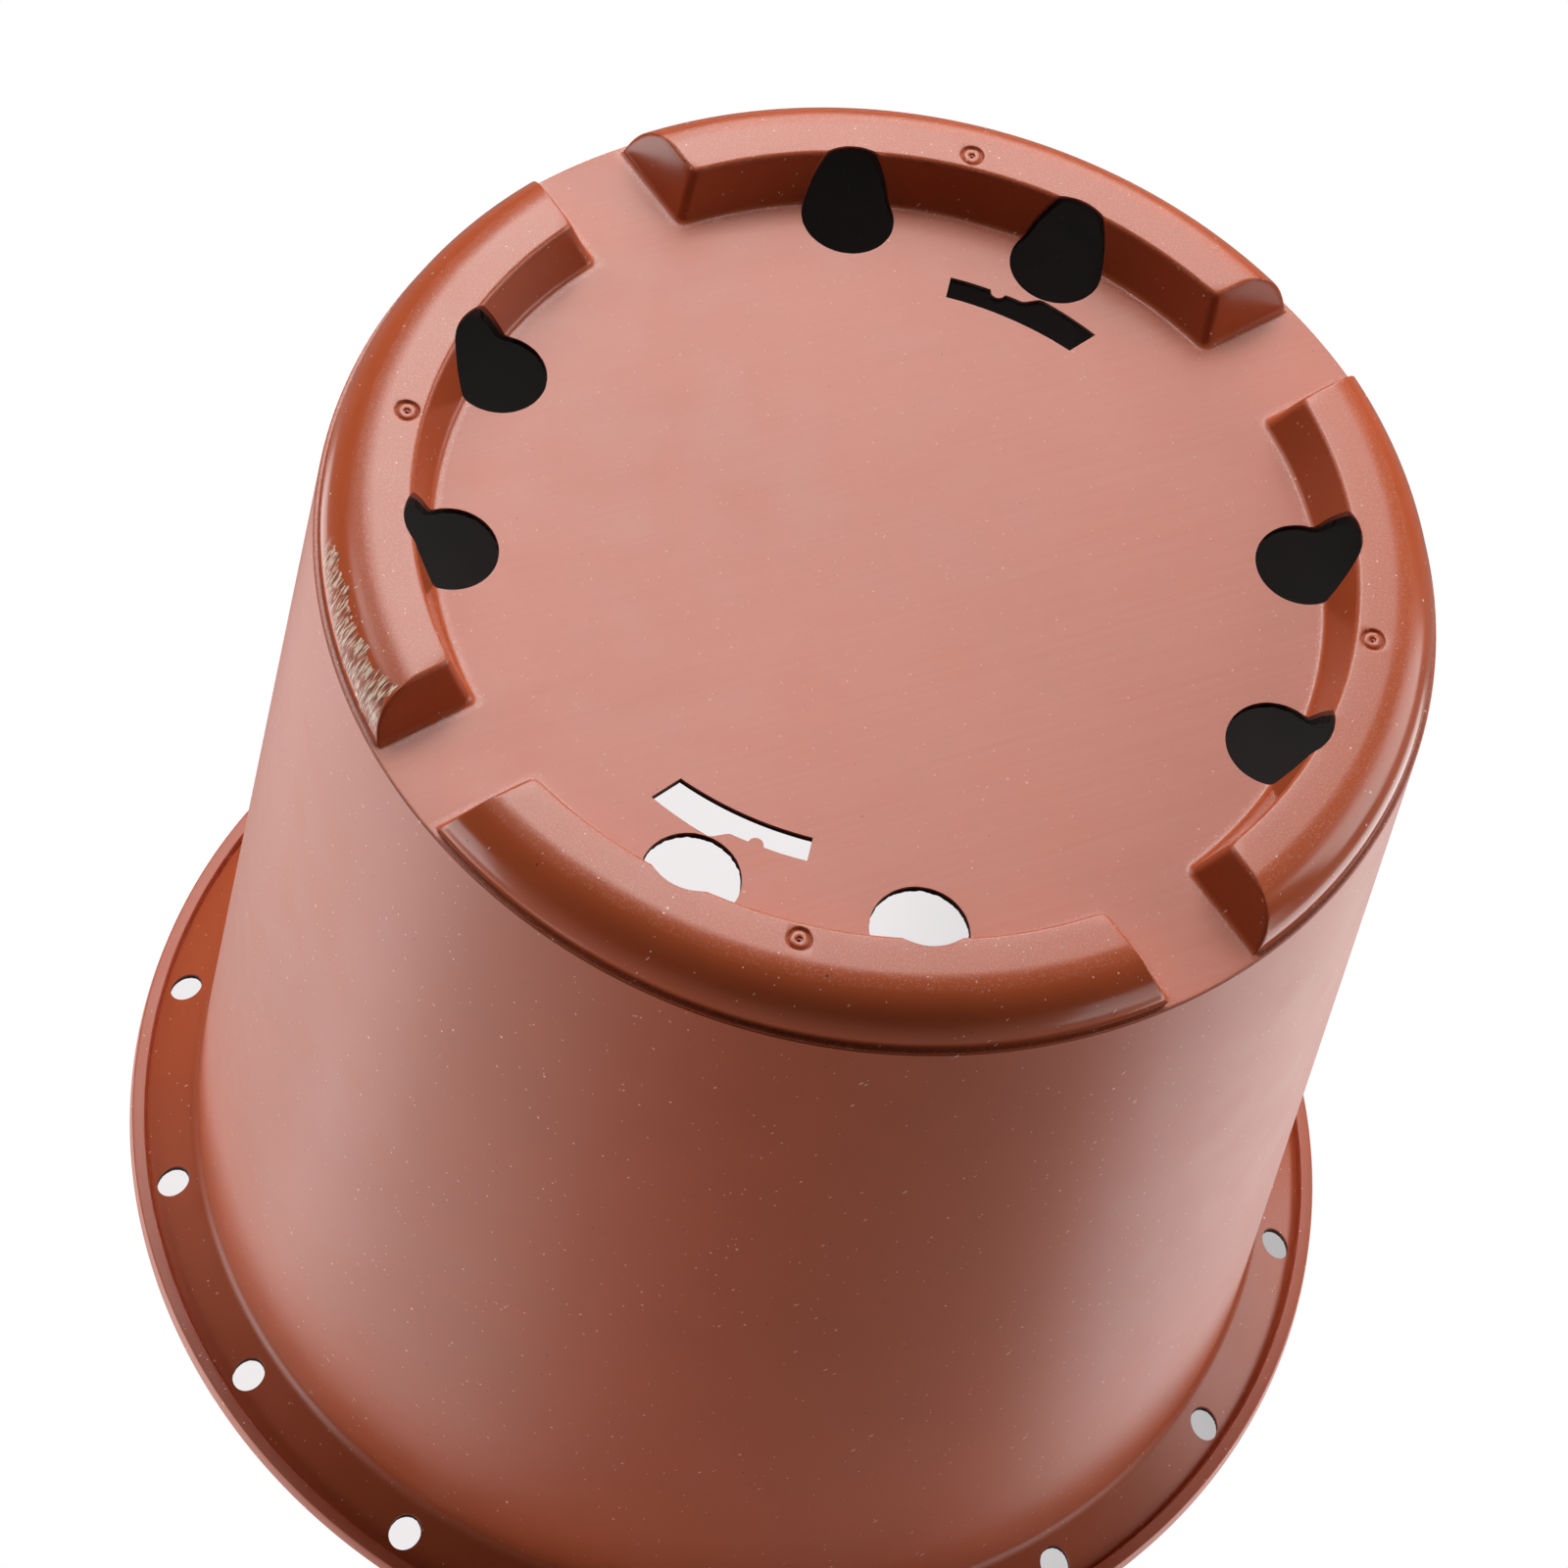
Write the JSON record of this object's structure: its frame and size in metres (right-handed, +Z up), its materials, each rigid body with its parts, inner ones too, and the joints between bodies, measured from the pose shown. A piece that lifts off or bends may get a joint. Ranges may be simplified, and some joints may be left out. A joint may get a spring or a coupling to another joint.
{
  "type": "orchid pot with slots",
  "caption": "Round slotted orchid pot: terracotta plastic outside, black inside, with arc feet, drain holes, floor slots and a sloping rim flange with hanger holes.",
  "frame": {"origin": "centre of the plane that the four feet stand on, on the pot's axis", "axes": "+Z up along the pot's axis, towards its mouth; the feet lie on +X, -X, +Y and -Y, the channels between them on the diagonals"},
  "size_m": [0.1772, 0.1772, 0.1552],
  "materials": {
    "terracotta": "satin",
    "black": "satin"
  },
  "bodies": {
    "root": {"floor_skin": "terracotta", "floor_liner": "black", "foot_front_skin": "terracotta", "foot_front_liner": "black", "foot_right_skin": "terracotta", "foot_right_liner": "black", "foot_back_skin": "terracotta", "foot_back_liner": "black", "foot_left_skin": "terracotta", "foot_left_liner": "black", "wall_skin": "terracotta", "wall_liner": "black", "flange_skin": "terracotta", "flange_liner": "black", "lip_skin": "terracotta", "lip_liner": "black"}
  },
  "joints": []
}
